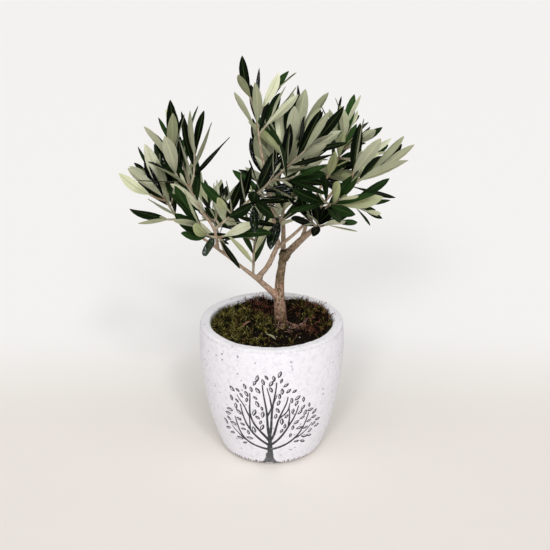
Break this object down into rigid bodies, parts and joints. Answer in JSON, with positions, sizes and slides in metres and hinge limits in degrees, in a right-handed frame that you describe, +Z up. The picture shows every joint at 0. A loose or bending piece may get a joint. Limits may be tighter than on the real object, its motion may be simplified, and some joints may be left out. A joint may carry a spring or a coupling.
{
  "type": "potted olive bonsai",
  "caption": "Small olive tree with a forked trunk and open leafy crown, in a thick-walled white cement pot dressed with moss and marked with a dark tree ornament.",
  "frame": {"origin": "centre of the pot's flat underside", "axes": "+Z up along the pot's axis, -Y towards the front with the tree ornament, +X to the right seen from the front"},
  "size_m": [0.2759, 0.1886, 0.4033],
  "materials": {
    "cement": "matte",
    "soil": "matte",
    "moss": "matte",
    "bark": "matte",
    "foliage": "satin"
  },
  "bodies": {
    "root": {"pot": "cement", "soil": "soil", "moss": "moss", "trunk": "bark", "left_bough": "bark", "left_riser": "bark", "inner_bough": "bark", "upper_bough": "bark", "cross_bough": "bark", "right_bough": "bark", "right_riser": "bark", "back_bough": "bark", "leaves_back_far": "foliage", "leaves_back_left": "foliage", "leaves_back_right": "foliage", "leaves_centre": "foliage", "leaves_diagonal": "foliage", "leaves_far_left": "foliage", "leaves_left_front": "foliage", "leaves_left_top": "foliage", "leaves_low_back": "foliage", "leaves_right_far": "foliage", "leaves_right_low": "foliage", "leaves_right_mid": "foliage", "leaves_right_top": "foliage", "leaves_top": "foliage"}
  },
  "joints": []
}
